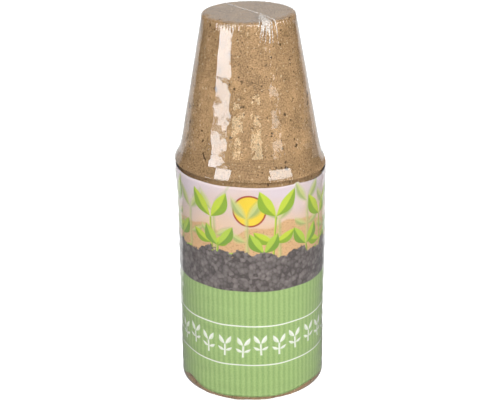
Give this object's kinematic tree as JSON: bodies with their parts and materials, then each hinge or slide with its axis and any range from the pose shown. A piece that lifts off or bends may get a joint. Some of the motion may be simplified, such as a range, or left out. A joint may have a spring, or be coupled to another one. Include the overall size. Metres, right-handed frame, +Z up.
{
  "type": "nested peat pots",
  "caption": "Stack of round tapered peat pots nested mouth down, held by a paper label round the rims and a clear shrink film.",
  "frame": {"origin": "on the stack's axis, in the plane that the lowest pot's rim stands on", "axes": "+Z up along the axis of the pots, from the lowest rim to the closed end of the top pot; the label's lap is at the back, on +Y"},
  "size_m": [0.0816, 0.0816, 0.2114],
  "materials": {
    "peat": "matt pressed peat and wood fibre",
    "label": "printed coated paper",
    "film": "clear glossy shrink film"
  },
  "bodies": {
    "pot_01": {"pot_01": "peat"},
    "pot_02": {"pot_02": "peat"},
    "pot_03": {"pot_03": "peat"},
    "pot_04": {"pot_04": "peat"},
    "pot_05": {"pot_05": "peat"},
    "pot_06": {"pot_06": "peat"},
    "pot_07": {"pot_07": "peat"},
    "pot_08": {"pot_08": "peat"},
    "pot_09": {"pot_09": "peat"},
    "pot_10": {"pot_10": "peat"},
    "pot_11": {"pot_11": "peat"},
    "pot_12": {"pot_12": "peat"},
    "pot_13": {"pot_13": "peat"},
    "pot_14": {"pot_14": "peat"},
    "pot_15": {"pot_15": "peat"},
    "pot_16": {"pot_16": "peat"},
    "label": {"label": "label"},
    "film": {"film": "film"}
  },
  "joints": [
    {"name": "pot_02_lift", "type": "slide", "parent": "pot_01", "child": "pot_02", "axis": [0, 0, 1], "range_m": [0, 0.08]},
    {"name": "pot_03_lift", "type": "slide", "parent": "pot_02", "child": "pot_03", "axis": [0, 0, 1], "range_m": [0, 0.08]},
    {"name": "pot_04_lift", "type": "slide", "parent": "pot_03", "child": "pot_04", "axis": [0, 0, 1], "range_m": [0, 0.08]},
    {"name": "pot_05_lift", "type": "slide", "parent": "pot_04", "child": "pot_05", "axis": [0, 0, 1], "range_m": [0, 0.08]},
    {"name": "pot_06_lift", "type": "slide", "parent": "pot_05", "child": "pot_06", "axis": [0, 0, 1], "range_m": [0, 0.08]},
    {"name": "pot_07_lift", "type": "slide", "parent": "pot_06", "child": "pot_07", "axis": [0, 0, 1], "range_m": [0, 0.08]},
    {"name": "pot_08_lift", "type": "slide", "parent": "pot_07", "child": "pot_08", "axis": [0, 0, 1], "range_m": [0, 0.08]},
    {"name": "pot_09_lift", "type": "slide", "parent": "pot_08", "child": "pot_09", "axis": [0, 0, 1], "range_m": [0, 0.08]},
    {"name": "pot_10_lift", "type": "slide", "parent": "pot_09", "child": "pot_10", "axis": [0, 0, 1], "range_m": [0, 0.08]},
    {"name": "pot_11_lift", "type": "slide", "parent": "pot_10", "child": "pot_11", "axis": [0, 0, 1], "range_m": [0, 0.08]},
    {"name": "pot_12_lift", "type": "slide", "parent": "pot_11", "child": "pot_12", "axis": [0, 0, 1], "range_m": [0, 0.08]},
    {"name": "pot_13_lift", "type": "slide", "parent": "pot_12", "child": "pot_13", "axis": [0, 0, 1], "range_m": [0, 0.08]},
    {"name": "pot_14_lift", "type": "slide", "parent": "pot_13", "child": "pot_14", "axis": [0, 0, 1], "range_m": [0, 0.08]},
    {"name": "pot_15_lift", "type": "slide", "parent": "pot_14", "child": "pot_15", "axis": [0, 0, 1], "range_m": [0, 0.08]},
    {"name": "pot_16_lift", "type": "slide", "parent": "pot_15", "child": "pot_16", "axis": [0, 0, 1], "range_m": [0, 0.08]},
    {"name": "label_lift", "type": "slide", "parent": "pot_16", "child": "label", "axis": [0, 0, 1], "range_m": [0, 0.212]},
    {"name": "film_lift", "type": "slide", "parent": "label", "child": "film", "axis": [0, 0, 1], "range_m": [0, 0.212]}
  ]
}
